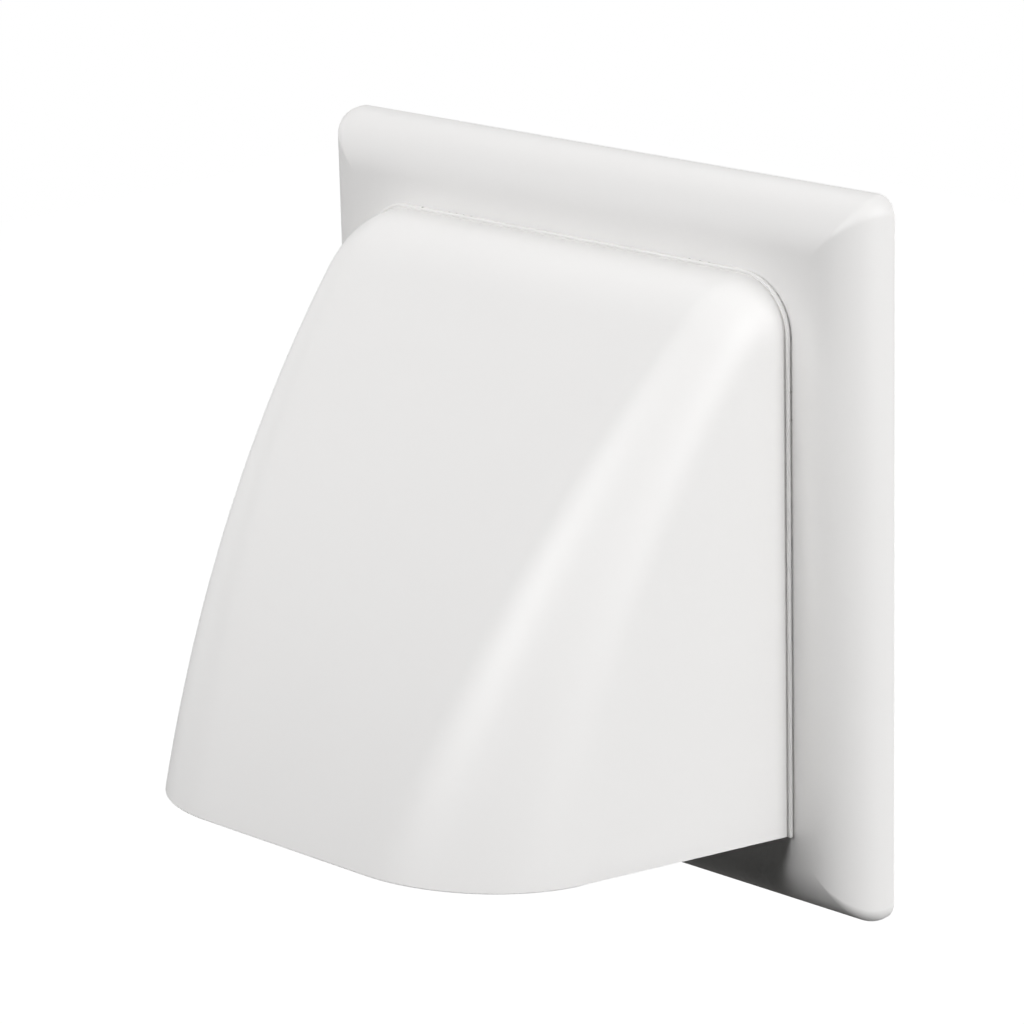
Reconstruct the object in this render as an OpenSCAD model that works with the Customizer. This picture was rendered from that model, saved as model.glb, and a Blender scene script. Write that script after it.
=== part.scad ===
// Cowled wall vent cover for a round duct: wall plate with spigot, hood and gravity flap.
// X runs to the right, Y runs back into the wall, Z is up. The wall surface is the plane
// y = 0, and the duct axis is the Y axis.

/* [Wall plate] */
// Width of the plate's margin round the cowl's flange
plate_margin = 16.15; // [14:0.05:24]
// Radius of the quarter-round that runs round the plate's edge
edge_r = 11.5; // [9:0.5:12.5]
// Height of the short straight foot between the wall and the quarter-round
edge_foot = 0.5; // [0.3:0.1:2]
// Radius of the plate's four corners, seen from the front
corner_r = 4; // [3:0.5:7]
// Wall thickness of the plate moulding
plate_wall = 2.2; // [1.6:0.1:2.6]
// Thickness of the ribs behind the plate's face
rib_t = 1.6; // [1.2:0.1:2.4]
// How far the ribs and the spigot's root stop short of the wall
rib_setback = 1.5; // [0.5:0.5:3]

/* [Duct spigot] */
// Outside diameter of the spigot that slides into the duct
spigot_d = 99; // [92:1:100]
// Wall thickness of the spigot
spigot_wall = 2; // [1.5:0.1:2.5]
// Length of the spigot behind the wall surface
spigot_len = 28; // [20:1:60]
// Chamfer at the spigot's free end
spigot_chamfer = 0.8; // [0.4:0.1:1.2]
// Extra radius of the spigot's root inside the plate
root_step = 1; // [0.5:0.1:1.5]
// Width of the ring that the flap closes on
seat_w = 2.5; // [2:0.1:3]
// How far that ring stands out of the plate's face
seat_h = 2; // [1.8:0.1:2.6]

/* [Fixing holes] */
// Distance of each screw hole from the outer edges of the cowl's flange
screw_inset = 12.85; // [12:0.05:14]
// Diameter of the screw holes
screw_d = 4.5; // [3.5:0.1:5]
// Diameter of the countersink for the screw heads
screw_head_d = 8.6; // [7:0.1:9]
// Diameter of the boss behind each screw hole
screw_boss_d = 10; // [9:0.5:12]

/* [Cowl] */
// How far the cowl's flange stands outside the spigot at the sides and the top
cowl_side = 9.35; // [8.5:0.05:11]
// How far the cowl's bottom edge hangs below the spigot where it meets the plate
cowl_drop = 7.45; // [5:0.05:10]
// How far the bottom front edge stands out from the flange
cowl_reach = 84.4; // [80:0.1:95]
// Wall thickness of the cowl moulding
cowl_wall = 2; // [1.6:0.1:2.4]
// Radius of the brow, where the front leaves the plate
brow_r = 26; // [20:1:30]
// Angle that the brow turns through before the long front curve
brow_angle = 45; // [40:1:50]
// Draft of the side walls
side_draft = 3.9; // [2:0.1:5]
// Radius of the ridges where they leave the plate, and of the cowl's top corners
rim_r = 11; // [9:0.5:13]
// Radius of the ridges at the bottom edge
nose_r = 31; // [24:1:34]
// How late the ridges widen on their way down
ridge_growth = 1.5; // [1:0.1:2]
// Slope of the bottom edge, which rises towards the front
bottom_rise = 5.3; // [3:0.1:7]
// Thickness of the flange that lies on the plate
flange_t = 1.2; // [1:0.1:1.6]
// How far the flange stands out beyond the cowl's walls
flange_step = 0.9; // [0.6:0.1:1.2]

/* [Clips] */
// Width of each snap hook on the cowl's flange
clip_w = 7; // [5:0.5:8]
// Thickness of each snap hook
clip_t = 1.8; // [1.4:0.1:2]
// How far a hook catches behind the plate
clip_catch = 0.8; // [0.5:0.1:1]
// Distance of the two top hooks from the middle
clip_x = 38; // [36:1:40]
// Height of the upper side hooks above the middle, and depth of the lower ones below it
clip_z = 34; // [30:1:38]
// Clearance round a hook in its slot
clip_gap = 0.2; // [0.1:0.05:0.3]

/* [Flap] */
// Thickness of the flap's plate
flap_t = 1.4; // [1.2:0.1:2]
// Width of the flap at its hinge
flap_hinge_w = 52; // [44:1:56]
// How far the flap's rim overlaps the ring that it closes on
flap_overlap = 2; // [1.5:0.1:2]
// Height of the stiffening rim round the flap
flap_rim_h = 1.2; // [0.8:0.1:2]
// Width of that rim and of the flap's two ribs
flap_rim_w = 1.4; // [1:0.1:2]
// Diameter of the hinge pin
pin_d = 3; // [2.6:0.1:3.2]
// Clearance between the hinge pin and its holes, on the radius
pin_gap = 0.06; // [0.03:0.01:0.09]
// Thickness of the two hinge ears
ear_t = 2.4; // [2:0.1:3]
// Plastic round the hinge pin in each ear
ear_wall = 1.3; // [1.1:0.1:1.5]
// Gap between the closed flap and its ring, and between the flap and the ears
flap_gap = 0.3; // [0.2:0.05:0.4]

/* [Hidden] */
$fn = 96;
// A cut runs this far past the face that it opens
past = 1;

// Widths of the cowl over its flange and of the square plate, and pitch of the screw holes
cowl_w = spigot_d + 2 * cowl_side;
plate_w = cowl_w + 2 * plate_margin;
screw_pitch = cowl_w - 2 * screw_inset;

// Wall plate and spigot
plate_t = edge_foot + edge_r;
bore_r = spigot_d / 2 - spigot_wall;
root_r = spigot_d / 2 + root_step;
seat_r = bore_r + seat_w;
seat_y = -(plate_t + seat_h);

// Flap and hinge
pin_r = pin_d / 2;
flap_r = bore_r + flap_overlap;
hinge_y = seat_y;
hinge_z = seat_r + pin_r + flap_gap;
flap_back = seat_y - flap_gap;
ear_x = flap_hinge_w / 2 + flap_gap;
ear_r = pin_r + ear_wall;

// Cowl: u is the distance out from the flange's front, z is the height
flange_y = -(plate_t + flange_t);
cowl_top = cowl_w / 2;
cowl_low = -(spigot_d / 2 + cowl_drop);
wall_x = cowl_w / 2 - flange_step;
wall_top = cowl_top - flange_step;
brow_u = brow_r * sin(brow_angle);
brow_z = wall_top - brow_r * (1 - cos(brow_angle));
front_low = cowl_low + cowl_reach * tan(bottom_rise);
chord_angle = atan2(brow_z - front_low, cowl_reach - brow_u);
front_angle = 2 * chord_angle - brow_angle;
front_chord = norm([cowl_reach - brow_u, brow_z - front_low]);
front_r = front_chord / 2 / sin((front_angle - brow_angle) / 2);
profile_len = brow_r * brow_angle + front_r * (front_angle - brow_angle);
brow_steps = 8;
front_steps = 24;
ridge_steps = 12;
last_row = brow_steps + front_steps;
row_size = 2 * (ridge_steps + 1);

// Angle of the cowl's front at row i: 0 is level, 90 is upright
function slope(i) = i <= brow_steps
    ? brow_angle * i / brow_steps
    : brow_angle + (front_angle - brow_angle) * (i - brow_steps) / front_steps;

// Direction in which row i is cut through the cowl, which ends along the bottom edge
function cut(a) = a <= brow_angle
    ? a
    : brow_angle + (90 - bottom_rise - brow_angle) * (a - brow_angle) / (front_angle - brow_angle);

// Share of the front's length from the top to slope a
function travelled(a) = (a <= brow_angle
    ? brow_r * a
    : brow_r * brow_angle + front_r * (a - brow_angle)) / profile_len;

// Point [u, z] of the front's middle line at slope a
function front_point(a) = a <= brow_angle
    ? [brow_r * sin(a), wall_top - brow_r * (1 - cos(a))]
    : [brow_u + front_r * (sin(a) - sin(brow_angle)), brow_z - front_r * (cos(brow_angle) - cos(a))];

// Ridge radius at slope a, on the outside
function ridge_r(a) = rim_r + (nose_r - rim_r) * pow(travelled(a), ridge_growth);

// Right half of row i, from the front's edge round the ridge to the side wall. The skin lies
// w inside the cowl's outer face, so w = 0 gives the outside and w = cowl_wall the inside.
function half_row(i, w) =
    let (
        a = slope(i),
        c = cut(a),
        p = front_point(a),
        lean = atan(sin(c) * tan(side_draft)),
        front = w / cos(c - a),
        r = ridge_r(a) - w,
        side = wall_x - w / cos(side_draft) - p[0] * tan(side_draft),
        mid = front + r,
        x0 = side + mid * tan(lean) - r / cos(lean)
    )
    [for (k = [0:ridge_steps])
        let (
            b = 90 - (90 - lean) * k / ridge_steps,
            x = x0 + r * cos(b),
            m = mid - r * sin(b)
        )
        [x, flange_y - (p[0] - m * sin(c)), p[1] - m * cos(c)]];

function mirrored(pts) = [for (k = [len(pts) - 1:-1:0]) [-pts[k][0], pts[k][1], pts[k][2]]];
function row(i, w) = concat(mirrored(half_row(i, w)), half_row(i, w));

// Outline of the cowl's foot, from one bottom corner over the top to the other
function foot_half(w, grow, y) =
    let (
        r = rim_r - w,
        xc = wall_x - w / cos(side_draft) - r,
        zc = wall_top - w - r
    )
    [for (k = [0:ridge_steps])
        let (b = 90 - 90 * k / ridge_steps)
        [xc + (r + grow) * cos(b), y, zc + (r + grow) * sin(b)]];
function foot_corner(w, grow, y) =
    [wall_x - w / cos(side_draft) + grow, y, cowl_low + (flange_y - y) * tan(bottom_rise)];
function foot(w, grow, y) =
    let (half = concat(foot_half(w, grow, y), [foot_corner(w, grow, y)]))
    concat(mirrored(half), half);

// Splits a four-cornered patch into two triangles
function patch(a, b, c, d) = [[a, b, c], [a, c, d]];
// Joins two rows of points of equal length, given as lists of point numbers
function strip(first, second) =
    [for (j = [0:len(first) - 2], f = patch(first[j], first[j + 1], second[j + 1], second[j])) f];
function turned(list) = [for (k = [len(list) - 1:-1:0]) list[k]];

// A solid with the plate's outer form, each face moved in by inset
module plate_form(inset) {
    half = plate_w / 2 - inset;
    r = edge_r - inset;
    depth = edge_foot + r;
    corner = max(corner_r - inset, 1);
    union() {
        intersection() {
            edge_run(half, r, depth);
            rotate([0, 90, 0]) edge_run(half, r, depth);
            plus_shape(half, half - corner, depth);
        }
        for (turn = [0:90:270]) rotate([0, turn, 0]) edge_corner(half, r, corner, depth);
    }
}

// Long bar whose section is the plate's: a flat face between two quarter-rounds
module edge_run(half, r, depth) {
    linear_extrude(height = 2 * half, center = true) mirror([0, 1]) intersection() {
        translate([-half, 0]) square([2 * half, depth]);
        union() {
            translate([-half, 0]) square([2 * half, edge_foot]);
            translate([r - half, 0]) square([2 * (half - r), depth]);
            for (side = [-1, 1]) translate([side * (half - r), edge_foot]) circle(r);
        }
    }
}

// A square plate without its four corner squares
module plus_shape(half, inner, depth) {
    rotate([90, 0, 0]) linear_extrude(height = depth) union() {
        square([2 * half, 2 * inner], center = true);
        square([2 * inner, 2 * half], center = true);
    }
}

// Quarter turn of the edge's section round one corner of the plate
module edge_corner(half, r, corner, depth) {
    translate([half - corner, 0, half - corner]) rotate([90, 0, 0]) rotate_extrude(angle = 90)
        intersection() {
            square([corner, depth]);
            union() {
                square([corner, edge_foot]);
                translate([corner - r, edge_foot]) circle(r);
            }
        }
}

// Ribs from the spigot out to the plate's edges and corners
module ribs() {
    intersection() {
        plate_form(plate_wall / 2);
        for (turn = [0:45:315]) rotate([0, turn, 0])
            translate([root_r - root_step / 2, -plate_t, -rib_t / 2])
                cube([plate_w, plate_t - rib_setback, rib_t]);
    }
}

// Runs its children at each of the four screw holes
module at_screws() {
    for (x = [-1, 1], z = [-1, 1]) translate([x * screw_pitch / 2, 0, z * screw_pitch / 2]) children();
}

// Runs its children at each clip, with the cowl's wall outwards along +X
module at_clips() {
    inside_x = wall_x - cowl_wall / cos(side_draft);
    for (side = [0, 1]) mirror([side, 0, 0]) {
        for (z = [-clip_z, clip_z]) translate([inside_x, 0, z]) children();
        translate([clip_x, 0, wall_top - cowl_wall]) rotate([0, -90, 0]) children();
    }
}

// Snap hook: a tongue through the plate with a catch behind its face and a sloping tip
module clip() {
    root_y = flange_y + flange_t / 2;
    catch_y = plate_wall + clip_gap - plate_t;
    tip_y = catch_y + 2 * clip_catch;
    translate([0, 0, -clip_w / 2]) linear_extrude(height = clip_w) polygon([
        [0, root_y],
        [clip_t, root_y],
        [clip_t, catch_y],
        [clip_t + clip_catch, catch_y],
        [clip_t + clip_catch, catch_y + clip_catch / 2],
        [clip_t, tip_y],
        [0, tip_y]]);
}

// Slot for a snap hook, wide enough inwards for the hook to spring past
module clip_slot() {
    slot_t = clip_t + clip_catch + 2 * clip_gap;
    translate([clip_t + clip_gap - slot_t, -(plate_t + past), -clip_w / 2 - clip_gap])
        cube([slot_t, plate_wall + 2 * past, clip_w + 2 * clip_gap]);
}

// Ear that carries one end of the hinge pin
module hinge_ear() {
    translate([ear_x, hinge_y, hinge_z]) rotate([0, 90, 0]) cylinder(r = ear_r, h = ear_t);
    translate([ear_x, hinge_y, hinge_z - ear_r])
        cube([ear_t, -hinge_y - plate_t + plate_wall / 2, 2 * ear_r]);
}

module wall_plate() {
    color("whitesmoke") difference() {
        union() {
            difference() {
                plate_form(0);
                plate_form(plate_wall);
            }
            rotate([90, 0, 0]) translate([0, 0, rib_setback])
                cylinder(r = root_r, h = plate_t - rib_setback - plate_wall / 2);
            rotate([90, 0, 0]) translate([0, 0, plate_t - plate_wall])
                cylinder(r = seat_r, h = plate_wall + seat_h);
            translate([0, -plate_t + plate_wall, 0]) rotate([-90, 0, 0])
                cylinder(r = spigot_d / 2, h = plate_t - plate_wall + spigot_len - spigot_chamfer);
            translate([0, spigot_len - spigot_chamfer, 0]) rotate([-90, 0, 0])
                cylinder(r1 = spigot_d / 2, r2 = spigot_d / 2 - spigot_chamfer, h = spigot_chamfer);
            at_screws() rotate([90, 0, 0]) cylinder(d = screw_boss_d, h = plate_t - plate_wall / 2);
            ribs();
            for (side = [0, 1]) mirror([side, 0, 0]) hinge_ear();
        }
        rotate([90, 0, 0]) translate([0, 0, -spigot_len - past])
            cylinder(r = bore_r, h = spigot_len + plate_t + seat_h + 2 * past);
        at_screws() rotate([90, 0, 0]) {
            translate([0, 0, -past]) cylinder(d = screw_d, h = plate_t + 2 * past);
            translate([0, 0, plate_t - (screw_head_d - screw_d) / 2])
                cylinder(d1 = screw_d, d2 = screw_head_d, h = (screw_head_d - screw_d) / 2);
        }
        at_clips() clip_slot();
        translate([-ear_x - ear_t - past, hinge_y, hinge_z]) rotate([0, 90, 0])
            cylinder(r = pin_r + pin_gap, h = 2 * (ear_x + ear_t + past));
    }
}

// The hood as one shell: outer skin, inner skin, flange and the cut bottom edge
module cowl_shell() {
    skin_size = (last_row + 1) * row_size;
    foot_size = row_size + 2;
    outer = [for (i = [0:last_row], p = row(i, 0)) p];
    inner = [for (i = [0:last_row], p = row(i, cowl_wall)) p];
    outer_corner = foot_corner(0, 0, flange_y);
    inner_corner = foot_corner(cowl_wall, 0, flange_y);
    corners = concat(mirrored([outer_corner]), [outer_corner], mirrored([inner_corner]), [inner_corner]);
    points = concat(
        outer, inner, corners,
        foot(0, flange_step, flange_y),
        foot(0, flange_step, -plate_t),
        foot(cowl_wall, 0, -plate_t));

    outer_row = function (i) [for (j = [0:row_size - 1]) i * row_size + j];
    inner_row = function (i) [for (j = [0:row_size - 1]) skin_size + i * row_size + j];
    corner_at = 2 * skin_size;
    foot_at = function (n) [for (j = [0:foot_size - 1]) corner_at + 4 + n * foot_size + j];
    outer_loop = function (i) concat([corner_at], outer_row(i), [corner_at + 1]);
    inner_loop = function (i) concat([corner_at + 2], inner_row(i), [corner_at + 3]);
    loops = [outer_loop(0), foot_at(0), foot_at(1), foot_at(2), inner_loop(0)];

    skins = [for (i = [0:last_row - 1], f = concat(
        strip(outer_row(i), outer_row(i + 1)),
        strip(inner_row(i + 1), inner_row(i)))) f];
    sides = [
        concat([corner_at + 1], [for (i = [last_row:-1:0]) i * row_size + row_size - 1]),
        concat([corner_at], [for (i = [0:last_row]) i * row_size]),
        concat([corner_at + 3], [for (i = [0:last_row]) skin_size + i * row_size + row_size - 1]),
        concat([corner_at + 2], [for (i = [last_row:-1:0]) skin_size + i * row_size])];
    bottom = strip(outer_loop(last_row), inner_loop(last_row));
    flange = [for (n = [0:len(loops) - 2], f = strip(turned(loops[n]), turned(loops[n + 1]))) f];
    ends = [
        [for (n = [0:len(loops) - 1]) loops[n][foot_size - 1]],
        [for (n = [0, 4, 3, 2, 1]) loops[n][0]]];
    polyhedron(points, concat(skins, sides, bottom, flange, ends), convexity = 6);
}

module cowl() {
    color("white") union() {
        cowl_shell();
        at_clips() clip();
    }
}

module damper_flap() {
    rib_h = flap_t + flap_rim_h;
    color("gainsboro") {
        translate([0, flap_back, 0]) rotate([90, 0, 0]) {
            cylinder(r = flap_r, h = flap_t);
            difference() {
                cylinder(r = flap_r, h = rib_h);
                translate([0, 0, -past]) cylinder(r = flap_r - flap_rim_w, h = rib_h + 2 * past);
            }
            translate([-flap_hinge_w / 2, 0, 0]) cube([flap_hinge_w, hinge_z, flap_t]);
            for (x = [-1, 1]) translate([x * (flap_hinge_w - flap_rim_w) / 2 - flap_rim_w / 2, 0, 0])
                cube([flap_rim_w, hinge_z, rib_h]);
        }
        translate([-ear_x - ear_t, hinge_y, hinge_z]) rotate([0, 90, 0])
            cylinder(r = pin_r, h = 2 * (ear_x + ear_t));
    }
}

wall_plate();
cowl();
damper_flap();
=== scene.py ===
# A white wall vent cover in three mouldings: a square plate with a spigot, a gravity flap and a
# hood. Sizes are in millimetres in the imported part's frame: X right, Y into the wall, Z up.
import math

import bmesh
import bpy
from mathutils import Matrix, Vector


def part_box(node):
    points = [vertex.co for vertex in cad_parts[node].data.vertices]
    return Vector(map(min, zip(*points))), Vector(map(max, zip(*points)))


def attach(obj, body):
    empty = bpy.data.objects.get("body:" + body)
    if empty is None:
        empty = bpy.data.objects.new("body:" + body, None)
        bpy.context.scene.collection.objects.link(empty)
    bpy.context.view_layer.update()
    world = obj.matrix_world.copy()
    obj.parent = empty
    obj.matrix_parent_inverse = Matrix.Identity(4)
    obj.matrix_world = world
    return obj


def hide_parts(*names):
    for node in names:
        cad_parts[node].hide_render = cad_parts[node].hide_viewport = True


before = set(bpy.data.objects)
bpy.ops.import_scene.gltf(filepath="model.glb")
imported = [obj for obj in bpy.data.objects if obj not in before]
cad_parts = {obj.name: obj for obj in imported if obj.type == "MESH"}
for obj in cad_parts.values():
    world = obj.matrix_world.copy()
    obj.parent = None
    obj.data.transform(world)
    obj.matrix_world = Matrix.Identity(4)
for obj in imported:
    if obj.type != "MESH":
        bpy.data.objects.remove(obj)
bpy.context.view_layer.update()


# Wall plate
# One ABS moulding that lies on the wall. Its edge is a quarter-round that is mitred at the corners,
# its back is hollow and ribbed, and the spigot for the duct and the flap's seat are moulded on. Four
# screws under the hood hold it.
MM = 0.001
plate_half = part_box("wall_plate")[1].x / MM
spigot_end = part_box("wall_plate")[1].y / MM
edge_r = 11.5
edge_foot = 0.5
corner_r = 4
mitre_r = 0.15
mitre_fade = 75
inner_corner_r = 1.6
back_chamfer = 0.2
edge_steps = 18
flat_margin = 1
plate_t = edge_foot + edge_r
plate_wall = 2.2
rib_t = 1.6
rib_setback = 1.5
rib_overlap = 1
rib_corner_cut = 1.2
spigot_r = 49.5
spigot_chamfer = 0.8
bore_r = 47.5
root_r = 50.5
seat_r = 50
seat_h = 2
seat_round = 0.3
screw_at = 46
screw_r = 2.25
screw_head_r = 4.3
sink_overcut = 0.1
boss_r = 5
hinge_y = -(plate_t + seat_h)
hinge_z = 51.8
pin_hole_r = 1.56
ear_x = 26.3
ear_t = 2.4
ear_r = 2.8
clip_w = 7
clip_t = 1.8
clip_catch = 0.8
clip_gap = 0.2
clip_wall = 55.95
clip_x = 38
clip_z = 34
# How far a cutting solid reaches past a surface, how close counts as on it, which points are merged,
# up to which angle faces are shaded as one, and how fine rings and pins are
overcut = 1
near = 0.01
merge_gap = 0.002
smooth_angle = math.radians(32)
ring_points = 96
pin_points = 64


def start_piece(name):
    """Adds an empty mesh at the origin and opens it for editing."""
    bpy.ops.object.select_all(action="DESELECT")
    bpy.ops.object.add(type="MESH")
    piece = bpy.context.object
    piece.name = name
    bpy.ops.object.mode_set(mode="EDIT")
    return piece


def close_piece():
    """Merges the edited mesh's doubles, turns its faces outwards and shades it."""
    bpy.ops.mesh.select_all(action="SELECT")
    bpy.ops.mesh.remove_doubles(threshold=merge_gap * MM)
    bpy.ops.mesh.normals_make_consistent(inside=False)
    bpy.ops.object.mode_set(mode="OBJECT")
    bpy.ops.object.shade_smooth_by_angle(angle=smooth_angle)


def add_ring(half, corner, y):
    """Extrudes the last ring to a square of points with round corners, seen from the front."""
    if len(bpy.context.object.data.vertices) == 0:
        bpy.ops.mesh.primitive_circle_add(vertices=ring_points, radius=1)
    else:
        bpy.ops.mesh.extrude_edges_move()
    mesh = bmesh.from_edit_mesh(bpy.context.object.data)
    mesh.verts.ensure_lookup_table()
    quarter = ring_points // 4
    for k, vert in enumerate(mesh.verts[-ring_points:]):
        side, step = divmod(k, quarter)
        turn = math.pi / 2 * (step + 0.5) / quarter
        x = half - corner + corner * math.cos(turn)
        z = half - corner + corner * math.sin(turn)
        vert.co = Matrix.Rotation(-side * math.pi / 2, 3, "Y") @ Vector((x, y, z)) * MM
    bmesh.update_edit_mesh(bpy.context.object.data)
    bpy.context.object.update_from_editmode()


def add_round_ring(radius, y):
    """Extrudes the last ring to a circle."""
    add_ring(radius, radius, y)


def join_last_ring_to_first():
    """Bridges the last ring to the first, so that the shape is closed."""
    mesh = bmesh.from_edit_mesh(bpy.context.object.data)
    bpy.ops.mesh.select_all(action="DESELECT")
    last = len(mesh.verts) - ring_points
    for edge in mesh.edges:
        ends = [vert.index for vert in edge.verts]
        if min(ends) >= last or max(ends) < ring_points:
            edge.select_set(True)
    bpy.ops.mesh.bridge_edge_loops()


def pick_edges(test):
    """Selects the edges whose two ends, in millimetres, both pass a test."""
    mesh = bmesh.from_edit_mesh(bpy.context.object.data)
    bpy.ops.mesh.select_mode(type="EDGE")
    bpy.ops.mesh.select_all(action="DESELECT")
    for edge in mesh.edges:
        edge.select_set(all(test(vert.co / MM) for vert in edge.verts))
    bmesh.update_edit_mesh(bpy.context.object.data)


def add_block(low, high):
    """Adds a block between two corners and opens it for editing."""
    start_piece("block")
    bpy.ops.mesh.primitive_cube_add(size=1)
    low, high = Vector(low) * MM, Vector(high) * MM
    bpy.ops.transform.resize(value=high - low)
    bpy.ops.transform.translate(value=(low + high) / 2)


def add_pin(radius, centre, length, axis, end_radius=None):
    """Adds a round pin or, with a second radius, a cone."""
    turn = {"X": (0, math.pi / 2, 0), "Y": (-math.pi / 2, 0, 0)}[axis]
    if end_radius is None:
        end_radius = radius
    bpy.ops.object.select_all(action="DESELECT")
    bpy.ops.mesh.primitive_cone_add(vertices=pin_points, radius1=radius * MM, radius2=end_radius * MM,
                                    depth=length * MM, location=Vector(centre) * MM, rotation=turn)
    bpy.ops.object.transform_apply(location=True, rotation=True, scale=True)
    return bpy.context.object


def repeated(piece, moves):
    """Replaces a solid by one copy for each move, joined as one object."""
    copies = []
    for move in moves:
        copy = piece.copy()
        copy.data = piece.data.copy()
        copy.data.transform(move)
        if move.determinant() < 0:
            copy.data.flip_normals()
        bpy.context.collection.objects.link(copy)
        copies.append(copy)
    bpy.data.objects.remove(piece)
    bpy.ops.object.select_all(action="DESELECT")
    for copy in copies:
        copy.select_set(True)
    bpy.context.view_layer.objects.active = copies[0]
    bpy.ops.object.join()
    return bpy.context.object


def combine(piece, other, operation):
    """Joins another solid to a piece, or cuts it out, and removes that solid."""
    bpy.ops.object.select_all(action="DESELECT")
    bpy.context.view_layer.objects.active = piece
    piece.select_set(True)
    bpy.ops.object.modifier_add(type="BOOLEAN")
    modifier = piece.modifiers[-1]
    modifier.operation = operation
    modifier.solver = "EXACT"
    modifier.object = other
    bpy.ops.object.modifier_apply(modifier=modifier.name)
    bpy.data.objects.remove(other)


def turned_about_y(degrees):
    return Matrix.Rotation(math.radians(degrees), 4, "Y")


def arc(first, last, steps):
    """Angles in radians from the first to the last, given in degrees."""
    return [math.radians(first + (last - first) * k / steps) for k in range(steps + 1)]


plate = start_piece("plate_moulding")
for turn in arc(0, 90, edge_steps):
    fade = max(1 - math.degrees(turn) / mitre_fade, 0)
    add_ring(plate_half - edge_r * (1 - math.cos(turn)), corner_r * fade + mitre_r,
             -edge_foot - edge_r * math.sin(turn))
flat_half = plate_half - edge_r - flat_margin
add_ring(flat_half, mitre_r, -plate_t)
seat_front = -plate_t - seat_h
for turn in arc(90, 0, 4):
    add_round_ring(seat_r + seat_round * (1 - math.sin(turn)),
                   -plate_t - seat_round * (1 - math.cos(turn)))
for turn in arc(0, 90, 4):
    add_round_ring(seat_r - seat_round * (1 - math.cos(turn)),
                   seat_front + seat_round * (1 - math.sin(turn)))
for turn in arc(90, 0, 4):
    add_round_ring(bore_r + seat_round * (1 - math.cos(turn)),
                   seat_front + seat_round * (1 - math.sin(turn)))
for turn in arc(0, 90, 4):
    add_round_ring(bore_r + seat_round * (1 - math.cos(turn)),
                   spigot_end - seat_round * (1 - math.sin(turn)))
add_round_ring(spigot_r - spigot_chamfer, spigot_end)
add_round_ring(spigot_r, spigot_end - spigot_chamfer)
add_round_ring(spigot_r, -rib_setback)
add_round_ring(root_r, -rib_setback)
add_round_ring(root_r, plate_wall - plate_t)
inner_r = edge_r - plate_wall
inner_half = plate_half - plate_wall
add_ring(flat_half, mitre_r, plate_wall - plate_t)
for turn in arc(90, 0, 12):
    add_ring(inner_half - inner_r * (1 - math.cos(turn)), mitre_r + inner_corner_r * math.cos(turn),
             -edge_foot - inner_r * math.sin(turn))
add_ring(inner_half, mitre_r + inner_corner_r, 0)
add_ring(plate_half - back_chamfer, corner_r + mitre_r - back_chamfer, 0)
add_ring(plate_half, corner_r + mitre_r, -back_chamfer)
join_last_ring_to_first()
close_piece()


def add_rib(stretch):
    """Adds a rib along X from the spigot into the plate's edge, whose curve it follows."""
    end = plate_half - plate_wall / 2
    add_block(((spigot_r - rib_overlap) / stretch, plate_wall / 2 - plate_t, -rib_t / 2),
              (end, 0, rib_t / 2))
    pick_edges(lambda place: place.x > end - near and place.y < -plate_t / 2)
    bpy.ops.mesh.bevel(offset=(edge_r - plate_wall / 2) * MM, segments=edge_steps, affect="EDGES")
    bpy.ops.mesh.select_all(action="SELECT")
    bpy.ops.transform.resize(value=(stretch, 1, 1), center_override=(0, 0, 0))
    bpy.ops.mesh.bisect(plane_co=(0, -rib_setback * MM, 0), plane_no=(0, 1, 0),
                        use_fill=True, clear_outer=True)
    if stretch > 1:
        bpy.ops.mesh.select_all(action="SELECT")
        bpy.ops.mesh.bisect(plane_co=((end * stretch - rib_corner_cut) * MM, 0, 0), plane_no=(1, 0, 0),
                            use_fill=True, clear_outer=True)
    close_piece()
    return bpy.context.object


add_block((clip_wall - clip_catch - clip_gap, -plate_t - overcut, -clip_w / 2 - clip_gap),
          (clip_wall + clip_t + clip_gap, overcut + plate_wall - plate_t, clip_w / 2 + clip_gap))
close_piece()
both_sides = [Matrix.Scale(side, 4, (1, 0, 0)) for side in (1, -1)]
quarter_turns = [turned_about_y(turn) for turn in (0, 90, 180, 270)]
clip_places = [side @ Matrix.Translation((0, 0, z * MM))
               for side in both_sides for z in (-clip_z, clip_z)]
clip_places += [Matrix.Translation((x * MM, 0, 0)) @ turned_about_y(-90) for x in (-clip_x, clip_x)]
slots = repeated(bpy.context.object, clip_places)
combine(plate, slots, "DIFFERENCE")
side_ribs = repeated(add_rib(1), quarter_turns)
combine(plate, side_ribs, "UNION")
corner_ribs = repeated(add_rib(math.sqrt(2)), [turned_about_y(turn) for turn in (45, 135, 225, 315)])
combine(plate, corner_ribs, "UNION")
boss_front = plate_t - plate_wall / 3
boss = add_pin(boss_r, (screw_at, -boss_front / 2, screw_at), boss_front, "Y")
combine(plate, repeated(boss, quarter_turns), "UNION")
add_block((ear_x, hinge_y - ear_r, hinge_z - ear_r), (ear_x + ear_t, -boss_front, hinge_z + ear_r))
pick_edges(lambda place: place.y < hinge_y)
mesh = bmesh.from_edit_mesh(bpy.context.object.data)
for edge in mesh.edges:
    edge.select_set(edge.select and abs(edge.verts[0].co.x - edge.verts[1].co.x) > MM)
bpy.ops.mesh.bevel(offset=ear_r * MM, segments=16, affect="EDGES")
close_piece()
ears = repeated(bpy.context.object, both_sides)
combine(plate, ears, "UNION")
pin_hole = add_pin(pin_hole_r, (0, hinge_y, hinge_z), 2 * (ear_x + ear_t + overcut), "X")
combine(plate, pin_hole, "DIFFERENCE")

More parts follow.
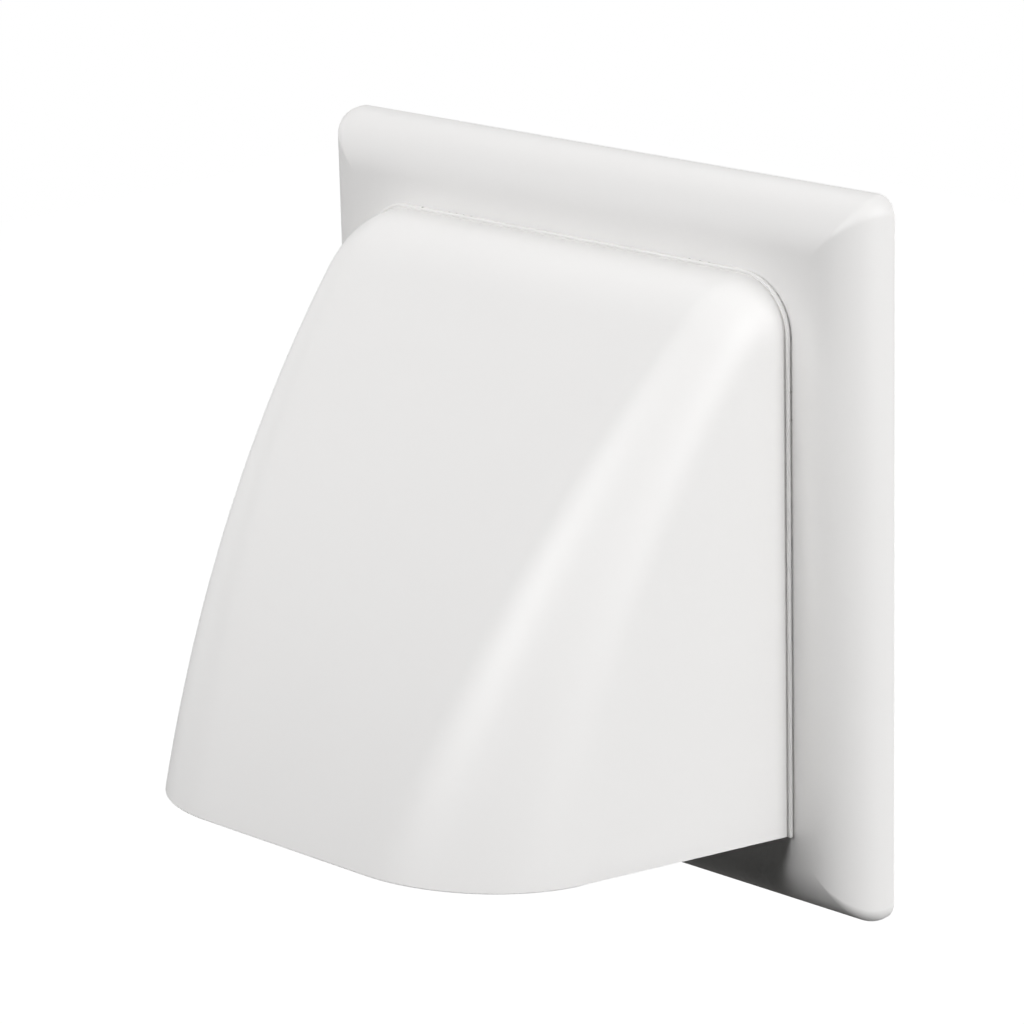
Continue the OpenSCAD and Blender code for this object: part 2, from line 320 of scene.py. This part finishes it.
shaft = add_pin(screw_r, (screw_at, -plate_t / 2, screw_at), plate_t + 4 * overcut, "Y")
combine(plate, repeated(shaft, quarter_turns), "DIFFERENCE")
sink = screw_head_r - screw_r
countersink = add_pin(screw_head_r + sink_overcut, (screw_at, sink / 2 - plate_t, screw_at),
                      sink + 2 * sink_overcut, "Y", end_radius=screw_r - sink_overcut)
combine(plate, repeated(countersink, quarter_turns), "DIFFERENCE")


def finish_shading(piece):
    """Shades a piece smooth up to an angle and keeps its flat faces flat."""
    bpy.ops.object.select_all(action="DESELECT")
    bpy.context.view_layer.objects.active = piece
    piece.select_set(True)
    bpy.ops.object.shade_smooth_by_angle(angle=smooth_angle)
    bpy.ops.object.modifier_add(type="WEIGHTED_NORMAL")
    piece.modifiers[-1].keep_sharp = True
    bpy.ops.object.modifier_apply(modifier=piece.modifiers[-1].name)


def linear(hex_colour):
    """Turns an sRGB hex colour into the linear values that a shader takes."""
    values = [int(hex_colour[k:k + 2], 16) / 255 for k in (1, 3, 5)]
    return [v / 12.92 if v <= 0.04045 else ((v + 0.055) / 1.055) ** 2.4 for v in values] + [1]


def add_node(tree, kind, settings=(), links=()):
    """Adds a node, sets its properties and sockets by name, and links its sockets."""
    node = tree.nodes.new(kind)
    for name, value in dict(settings).items():
        if hasattr(node, name):
            setattr(node, name, value)
        else:
            node.inputs[name].default_value = value
    for name, source in dict(links).items():
        tree.links.new(source, node.inputs[name])
    return node


# Sizes of the plastic's patterns and of a speck of painted shadow. The real grain is about 0.05 mm and
# is drawn at 0.4 mm so that it shows.
tone_size = 30
polish_size = 6
polish_spread = 0.03
sink_mark_size = 22
sink_mark_depth = 0.03
grain_size = 0.4
grain_depth = 0.006
# Painted shadow specks: the radius at full darkness, the radius where they fade out, how dark they get
# and their colour
shadow_speck_r = 0.15
shadow_speck_fade_r = 0.4
shadow_speck_cover = 0.8
shadow_speck_colour = "#55524A"


def moulded_abs(name, colour, shade, roughness, shadow_specks=()):
    """White ABS from a finely sparked mould: satin, with a faint grain, slow sink marks, a slight
    unevenness of tone and, where they are given, specks of painted shadow in the flange's gap."""
    material = bpy.data.materials.new(name)
    material.use_nodes = True
    tree = material.node_tree
    tree.nodes.clear()
    place = add_node(tree, "ShaderNodeTexCoord").outputs["Object"]
    flow = add_node(tree, "ShaderNodeTexNoise", {"Scale": 1 / (tone_size * MM), "Detail": 3},
                    {"Vector": place})
    tone = add_node(tree, "ShaderNodeMix", {"data_type": "RGBA"}, {"Factor": flow.outputs["Fac"]})
    tone.inputs["A"].default_value = linear(colour)
    tone.inputs["B"].default_value = linear(shade)
    surface = tone.outputs["Result"]
    # Each speck paints shade round a point in the gap where the hood's flange stands off the plate
    for shadow_speck in shadow_specks:
        away = add_node(tree, "ShaderNodeVectorMath", {"operation": "DISTANCE"})
        tree.links.new(place, away.inputs[0])
        away.inputs[1].default_value = Vector(shadow_speck) * MM
        shadow_amount = add_node(tree, "ShaderNodeMapRange",
                         {"From Min": shadow_speck_r * MM, "From Max": shadow_speck_fade_r * MM,
                          "To Min": shadow_speck_cover, "To Max": 0.0},
                         {"Value": away.outputs["Value"]})
        shadowed = add_node(tree, "ShaderNodeMix", {"data_type": "RGBA"},
                           {"Factor": shadow_amount.outputs["Result"], "A": surface})
        shadowed.inputs["B"].default_value = linear(shadow_speck_colour)
        surface = shadowed.outputs["Result"]
    polish = add_node(tree, "ShaderNodeTexNoise", {"Scale": 1 / (polish_size * MM), "Detail": 4},
                      {"Vector": place})
    gloss = add_node(tree, "ShaderNodeMapRange",
                     {"To Min": roughness - polish_spread, "To Max": roughness + polish_spread},
                     {"Value": polish.outputs["Fac"]})
    sink_marks = add_node(tree, "ShaderNodeTexNoise", {"Scale": 1 / (sink_mark_size * MM), "Detail": 1},
                          {"Vector": place})
    slow = add_node(tree, "ShaderNodeBump", {"Strength": 0.5, "Distance": sink_mark_depth * MM},
                    {"Height": sink_marks.outputs["Fac"]})
    grain = add_node(tree, "ShaderNodeTexNoise", {"Scale": 1 / (grain_size * MM), "Detail": 2},
                     {"Vector": place})
    fine = add_node(tree, "ShaderNodeBump", {"Strength": 0.5, "Distance": grain_depth * MM},
                    {"Height": grain.outputs["Fac"], "Normal": slow.outputs["Normal"]})
    plastic = add_node(tree, "ShaderNodeBsdfPrincipled", {"IOR": 1.53},
                       {"Base Color": surface, "Roughness": gloss.outputs["Result"],
                        "Normal": fine.outputs["Normal"]})
    add_node(tree, "ShaderNodeOutputMaterial", (), {"Surface": plastic.outputs["BSDF"]})
    return material


# Painted shadow: dark specks in the gap between the plate and the hood's flange and on the flange's lip
gap_shadow_specks = [(-41.9, -12.9, 58.8), (-34.2, -12.55, 58.85), (-32.1, -12.55, 58.85),
              (-30, -12.55, 58.85), (-27.8, -12.55, 58.85), (33, -12.6, 58.85), (35.8, -12.6, 58.85),
              (38.2, -12.6, 58.85), (58.85, -12.4, 35.8), (58.85, -12.4, 30.1)]

finish_shading(plate)
plate.data.materials.clear()
plate_plastic = moulded_abs("satin_white_abs_plate", "#EFEEED", "#EDECEB", 0.49, gap_shadow_specks)
plate.data.materials.append(plate_plastic)
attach(plate, "housing")
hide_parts("wall_plate")


# Back-draught flap
# One thin ABS moulding that hangs by the pin at its top edge and closes on the ring round the duct.
# A low rim and two ribs stiffen it, and air from the duct pushes it open.
flap_gap = 0.3
flap_back = hinge_y - flap_gap
flap_t = 1.4
flap_rim_h = 1.2
flap_rim_w = 1.4
flap_r = 49.5
flap_centre_r = 10
flap_hinge_half = 26
hinge_panel_low = 20
flap_rib_inset = 0.1
pin_r = 1.5
flap_edge = 0.25
flap_front = flap_back - flap_t
rim_front = flap_front - flap_rim_h

flap = start_piece("flap_moulding")
add_round_ring(flap_centre_r, flap_back)
for turn in arc(0, 90, 3):
    add_round_ring(flap_r - flap_edge * (1 - math.sin(turn)),
                   flap_back - flap_edge * (1 - math.cos(turn)))
for turn in arc(0, 90, 3):
    add_round_ring(flap_r - flap_edge * (1 - math.cos(turn)),
                   rim_front + flap_edge * (1 - math.sin(turn)))
for turn in arc(0, 90, 3):
    add_round_ring(flap_r - flap_rim_w + flap_edge * (1 - math.sin(turn)),
                   rim_front + flap_edge * (1 - math.cos(turn)))
add_round_ring(flap_r - flap_rim_w, flap_front)
add_round_ring(flap_centre_r, flap_front)
bpy.ops.mesh.edge_face_add()
pick_edges(lambda place: place.y > flap_back - near
           and math.hypot(place.x, place.z) < flap_centre_r + 1)
bpy.ops.mesh.edge_face_add()
close_piece()
add_block((-flap_hinge_half, flap_front, hinge_panel_low), (flap_hinge_half, flap_back, hinge_z))
close_piece()
combine(flap, bpy.context.object, "UNION")
add_block((flap_hinge_half - flap_rim_w, rim_front, 0),
          (flap_hinge_half, flap_back - flap_rib_inset, hinge_z))
close_piece()
combine(flap, repeated(bpy.context.object, both_sides), "UNION")
combine(flap, add_pin(pin_r, (0, hinge_y, hinge_z), 2 * (ear_x + ear_t), "X"), "UNION")
finish_shading(flap)
flap.data.materials.clear()
flap_plastic = moulded_abs("satin_white_abs_flap", "#EDEBE8", "#EBE9E6", 0.5)
flap.data.materials.append(flap_plastic)
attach(flap, "flap")
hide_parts("damper_flap")


# Hood
# One ABS moulding with 2 mm walls that clips on to the plate by six hooks. Its front leaves the plate
# in a tight brow and then runs down in one long curve, its two ridges widen towards the open bottom,
# and a narrow flange lies on the plate.
flange_t = 1.2
flange_step = 0.9
flange_y = -plate_t - flange_t
hood_wall = 2
rim_round = 0.3
wall_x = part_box("cowl")[1].x / MM - flange_step
wall_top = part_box("cowl")[1].z / MM - flange_step
hood_reach = flange_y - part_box("cowl")[0].y / MM
brow_r = 26
brow_angle = math.radians(45)
draft = math.radians(3.9)
bottom_rise = math.radians(5.3)
rim_r = 11
nose_r = 31
ridge_growth = 1.5
hood_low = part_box("cowl")[0].z / MM + flange_t * math.tan(bottom_rise)
brow_out = brow_r * math.sin(brow_angle)
brow_z = wall_top - brow_r * (1 - math.cos(brow_angle))
front_low = hood_low + hood_reach * math.tan(bottom_rise)
front_angle = 2 * math.atan2(brow_z - front_low, hood_reach - brow_out) - brow_angle
front_chord = math.hypot(hood_reach - brow_out, brow_z - front_low)
front_r = front_chord / 2 / math.sin((front_angle - brow_angle) / 2)
front_length = brow_r * brow_angle + front_r * (front_angle - brow_angle)
brow_rows = 24
front_rows = 48
spare_rows = 2
ridge_columns = 24


def slope_at(row):
    """Angle of the hood's front at a row, from level at the plate."""
    if row <= brow_rows:
        return brow_angle * row / brow_rows
    return brow_angle + (front_angle - brow_angle) * (row - brow_rows) / front_rows


def front_at(slope):
    """Distance from the flange and height of the front's middle line at a slope."""
    if slope <= brow_angle:
        return brow_r * math.sin(slope), wall_top - brow_r * (1 - math.cos(slope))
    return (brow_out + front_r * (math.sin(slope) - math.sin(brow_angle)),
            brow_z - front_r * (math.cos(brow_angle) - math.cos(slope)))


def ridge_at(slope):
    """Radius of the ridges at a slope."""
    if slope <= brow_angle:
        travelled = brow_r * slope / front_length
    else:
        travelled = (brow_r * brow_angle + front_r * (slope - brow_angle)) / front_length
    return rim_r + (nose_r - rim_r) * travelled ** ridge_growth


def ridge_point(row, turn):
    """Point of the right ridge at a row, from the front's edge at 90 degrees to the side wall."""
    slope = slope_at(row)
    out, height = front_at(slope)
    if slope <= brow_angle:
        cut = slope
    else:
        share = (slope - brow_angle) / (front_angle - brow_angle)
        cut = brow_angle + (math.pi / 2 - bottom_rise - brow_angle) * share
    lean = math.atan(math.sin(cut) * math.tan(draft))
    radius = ridge_at(slope)
    middle = wall_x - out * math.tan(draft) + radius * math.tan(lean) - radius / math.cos(lean)
    angle = math.pi / 2 - (math.pi / 2 - lean) * turn
    depth = radius - radius * math.sin(angle)
    return Vector((middle + radius * math.cos(angle), flange_y - (out - depth * math.sin(cut)),
                   height - depth * math.cos(cut)))


def hood_point(row, column):
    """Point of the hood's outside. Columns run from the left wall's foot over both ridges."""
    last_column = 2 * ridge_columns + 3
    if column > last_column / 2:
        point = hood_point(row, last_column - column)
        return Vector((-point.x, point.y, point.z))
    if column > 0:
        point = ridge_point(row, 1 - (column - 1) / ridge_columns)
    else:
        top = wall_top - rim_r
        point = Vector((wall_x, flange_y, top + (hood_low - top) * row / (brow_rows + front_rows)))
    return Vector((-point.x, point.y, point.z))


def flange_direction(place):
    """Direction out of the hood's foot, along the plate, at a place in millimetres."""
    across = max(abs(place.x) - (wall_x - rim_r), 0)
    up = max(place.z - (wall_top - rim_r), 0)
    return Vector((math.copysign(across, place.x), 0, up)).normalized()


hood = start_piece("hood_moulding")
columns = 2 * ridge_columns + 3
rows = brow_rows + front_rows + spare_rows
bpy.ops.mesh.primitive_grid_add(x_subdivisions=columns, y_subdivisions=rows, size=1)
mesh = bmesh.from_edit_mesh(hood.data)
for vert in mesh.verts:
    column = round((vert.co.x + 0.5) * columns)
    row = round((0.5 - vert.co.y) * rows)
    vert.co = hood_point(row, column) * MM
bmesh.update_edit_mesh(hood.data)
bpy.ops.mesh.remove_doubles(threshold=merge_gap * MM)
bpy.ops.object.mode_set(mode="OBJECT")
outer_count = len(hood.data.vertices)
bpy.ops.object.modifier_add(type="SOLIDIFY")
hood.modifiers[-1].thickness = hood_wall * MM
hood.modifiers[-1].offset = -1
hood.modifiers[-1].use_even_offset = True
hood.modifiers[-1].use_rim = False
bpy.ops.object.modifier_apply(modifier=hood.modifiers[-1].name)

# The flange's section, as steps out from the wall's outside and depths: a groove that slopes up from
# the wall, a narrow lip with soft edges, and a gap above the plate
groove_y = flange_y + 0.3
lip_y = flange_y - 0.08
gap_y = flange_y + 0.7
gap_step = 0.48
inner_foot_spread = 0.3
unrounded_foot = 0.5
flange_section = [(0, groove_y + 0.05), (0.14, groove_y - 0.02), (0.27, groove_y - 0.1),
                  (0.36, lip_y + 0.16), (0.42, lip_y + 0.09), (0.5, lip_y + 0.03), (0.62, lip_y),
                  (0.76, lip_y + 0.04), (0.86, lip_y + 0.14), (flange_step, lip_y + 0.26),
                  (flange_step, gap_y - 0.14), (0.87, gap_y - 0.04), (0.8, gap_y), (gap_step, gap_y),
                  (gap_step, -plate_t), (-hood_wall, -plate_t), (-hood_wall, flange_y)]
bpy.ops.object.mode_set(mode="EDIT")
mesh = bmesh.from_edit_mesh(hood.data)
bpy.ops.mesh.select_mode(type="EDGE")
bpy.ops.mesh.select_all(action="DESELECT")
for vert in mesh.verts:
    if vert.index >= outer_count and vert.co.y > (flange_y - inner_foot_spread) * MM:
        vert.co.y = flange_y * MM
for edge in mesh.edges:
    on_outer_foot = all(vert.index < outer_count and vert.co.y > (flange_y - near) * MM
                        for vert in edge.verts)
    if edge.is_boundary and on_outer_foot:
        edge.select_set(True)
step_before = 0
for step, depth in flange_section:
    bpy.ops.mesh.extrude_edges_move()
    mesh = bmesh.from_edit_mesh(hood.data)
    for vert in mesh.verts:
        if vert.select:
            vert.co += flange_direction(vert.co / MM) * (step - step_before) * MM
            vert.co.y = depth * MM
    bmesh.update_edit_mesh(hood.data)
    step_before = step
mesh = bmesh.from_edit_mesh(hood.data)
mesh.verts.index_update()
mesh.verts.ensure_lookup_table()
inner_foot = [vert for vert in mesh.verts[outer_count:2 * outer_count]
              if vert.co.y > (flange_y - near) * MM]
for vert in mesh.verts:
    if vert.select:
        vert.co = min(inner_foot, key=lambda foot: (foot.co - vert.co).length).co
bmesh.update_edit_mesh(hood.data)
bpy.ops.mesh.select_all(action="SELECT")
bpy.ops.mesh.remove_doubles(threshold=merge_gap * MM)
bpy.ops.mesh.bisect(plane_co=(0, flange_y * MM, hood_low * MM),
                    plane_no=(0, -math.sin(bottom_rise), -math.cos(bottom_rise)),
                    use_fill=True, clear_outer=True)
mesh = bmesh.from_edit_mesh(hood.data)
for edge in mesh.edges:
    if edge.select and any(vert.co.y > (flange_y - unrounded_foot) * MM for vert in edge.verts):
        edge.select_set(False)
bpy.ops.mesh.bevel(offset=rim_round * MM, segments=3, affect="EDGES")
close_piece()

clip_root = 0.6
clip_reach = 4
add_block((clip_wall, -plate_t - clip_root, -clip_w / 2),
          (clip_wall + clip_t, clip_reach - plate_t, clip_w / 2))
close_piece()
combine(hood, repeated(bpy.context.object, clip_places), "UNION")
catch_y = plate_wall + clip_gap - plate_t
add_block((clip_wall + clip_t / 2, catch_y, -clip_w / 2),
          (clip_wall + clip_t + clip_catch, catch_y + 2 * clip_catch, clip_w / 2))
mesh = bmesh.from_edit_mesh(bpy.context.object.data)
for vert in mesh.verts:
    if vert.co.x > (clip_wall + clip_t) * MM and vert.co.y > (catch_y + clip_catch) * MM:
        vert.co.x -= clip_catch * MM
close_piece()
combine(hood, repeated(bpy.context.object, clip_places), "UNION")
finish_shading(hood)
hood.data.materials.clear()
# The hood's material also carries the painted shadow specks in the flange's gap
hood_plastic = moulded_abs("satin_white_abs_hood", "#F0EFEE", "#EEEDEC", 0.48, gap_shadow_specks)
hood.data.materials.append(hood_plastic)
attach(hood, "housing")
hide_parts("cowl")


# Floor, light and camera
# A pale floor far below, as under a cover that hangs on a wall, and a white room. Soft lamps in front,
# above and at the sides leave the place under the hood dark, and the camera stands where the
# photograph was taken from. The floor's and the lamps' lengths are in metres.
floor_z = -2.2
floor_size = 16
floor_mirror_share = 0.06
room_mirror_share = 0.3
lamp_distance = 1.5


def shows_background(tree, mirror_share):
    """How much of the white background a ray sees: all for the camera's and for refracted rays, and
    a share for mirrored ones, so that the satin plastic isn't lit by it."""
    paths = add_node(tree, "ShaderNodeLightPath").outputs
    mirrored = add_node(tree, "ShaderNodeMath", {"operation": "MULTIPLY"})
    tree.links.new(paths["Is Glossy Ray"], mirrored.inputs[0])
    mirrored.inputs[1].default_value = mirror_share
    shown = paths["Is Camera Ray"]
    for other in (paths["Is Transmission Ray"], mirrored.outputs[0]):
        either = add_node(tree, "ShaderNodeMath", {"operation": "MAXIMUM"})
        tree.links.new(shown, either.inputs[0])
        tree.links.new(other, either.inputs[1])
        shown = either.outputs[0]
    return shown


world = bpy.data.worlds.new("pale_room")
bpy.context.scene.world = world
world.use_nodes = True
tree = world.node_tree
tree.nodes.clear()
glow = add_node(tree, "ShaderNodeBackground", {"Color": (1, 1, 1, 1)},
                {"Strength": shows_background(tree, room_mirror_share)})
add_node(tree, "ShaderNodeOutputWorld", (), {"Surface": glow.outputs["Background"]})

bpy.ops.object.select_all(action="DESELECT")
bpy.ops.mesh.primitive_plane_add(size=floor_size, location=(0, 0, floor_z))
floor = bpy.context.object
floor.name = "floor"
floor_paint = bpy.data.materials.new("pale_floor")
floor_paint.use_nodes = True
tree = floor_paint.node_tree
tree.nodes.clear()
dull = add_node(tree, "ShaderNodeBsdfDiffuse", {"Color": linear("#33312A")})
pale = add_node(tree, "ShaderNodeBsdfDiffuse", {"Color": linear("#F4F4F2")})
lit = add_node(tree, "ShaderNodeEmission", {"Color": (1, 1, 1, 1), "Strength": 1.0})
pale_lit = add_node(tree, "ShaderNodeAddShader")
tree.links.new(pale.outputs[0], pale_lit.inputs[0])
tree.links.new(lit.outputs[0], pale_lit.inputs[1])
paint = add_node(tree, "ShaderNodeMixShader", (), {"Fac": shows_background(tree, floor_mirror_share)})
tree.links.new(dull.outputs[0], paint.inputs[1])
tree.links.new(pale_lit.outputs[0], paint.inputs[2])
add_node(tree, "ShaderNodeOutputMaterial", (), {"Surface": paint.outputs[0]})
floor.data.materials.append(floor_paint)


def add_lamp(name, azimuth, elevation, size, power):
    """Adds a soft square lamp that faces the cover, by the angles that the camera uses."""
    turn, rise = math.radians(azimuth), math.radians(elevation)
    back = Vector((math.sin(turn) * math.cos(rise), -math.cos(turn) * math.cos(rise), math.sin(rise)))
    lamp = bpy.data.lights.new(name, "AREA")
    lamp.shape = "SQUARE"
    lamp.size = size
    lamp.energy = power
    holder = bpy.data.objects.new(name, lamp)
    holder.location = back * lamp_distance
    holder.rotation_mode = "QUATERNION"
    holder.rotation_quaternion = back.to_track_quat("Z", "Y")
    bpy.context.collection.objects.link(holder)


add_lamp("front_softbox", -15, 32, 1.0, 8.2)
add_lamp("front_spot", -1, 31, 0.5, 8.9)
add_lamp("right_window", 120, -20, 2.4, 16.4)
add_lamp("right_softbox", 93, 10, 0.95, 8.4)
add_lamp("right_spot", 103, 33, 0.5, 6.8)
add_lamp("left_softbox", -90, 10, 0.9, 2.9)
add_lamp("top_softbox", -90, 70, 0.9, 2.9)
add_lamp("back_softbox", -140, 50, 0.9, 4.6)

# The camera's distance and its steps to the right and up are in millimetres
camera_azimuth = math.radians(44.645)
camera_elevation = math.radians(16.687)
camera_roll = math.radians(-1.45)
camera_distance = 898.63
camera_lens = 151.27
camera_right = -21.781
camera_up = -2.679
back = Vector((math.sin(camera_azimuth) * math.cos(camera_elevation),
               -math.cos(camera_azimuth) * math.cos(camera_elevation), math.sin(camera_elevation)))
level = (-back).cross(Vector((0, 0, 1))).normalized()
upright = level.cross(-back)
right = level * math.cos(camera_roll) + upright * math.sin(camera_roll)
up = upright * math.cos(camera_roll) - level * math.sin(camera_roll)
camera = bpy.data.objects.new("camera", bpy.data.cameras.new("camera"))
camera.data.sensor_width = 36
camera.data.lens = camera_lens
camera.data.clip_end = 50
camera.location = (back * camera_distance + right * camera_right + up * camera_up) * MM
camera.rotation_mode = "QUATERNION"
camera.rotation_quaternion = Matrix((right, up, back)).transposed().to_quaternion()
bpy.context.collection.objects.link(camera)
bpy.context.scene.camera = camera
bpy.context.scene.view_settings.view_transform = "Standard"
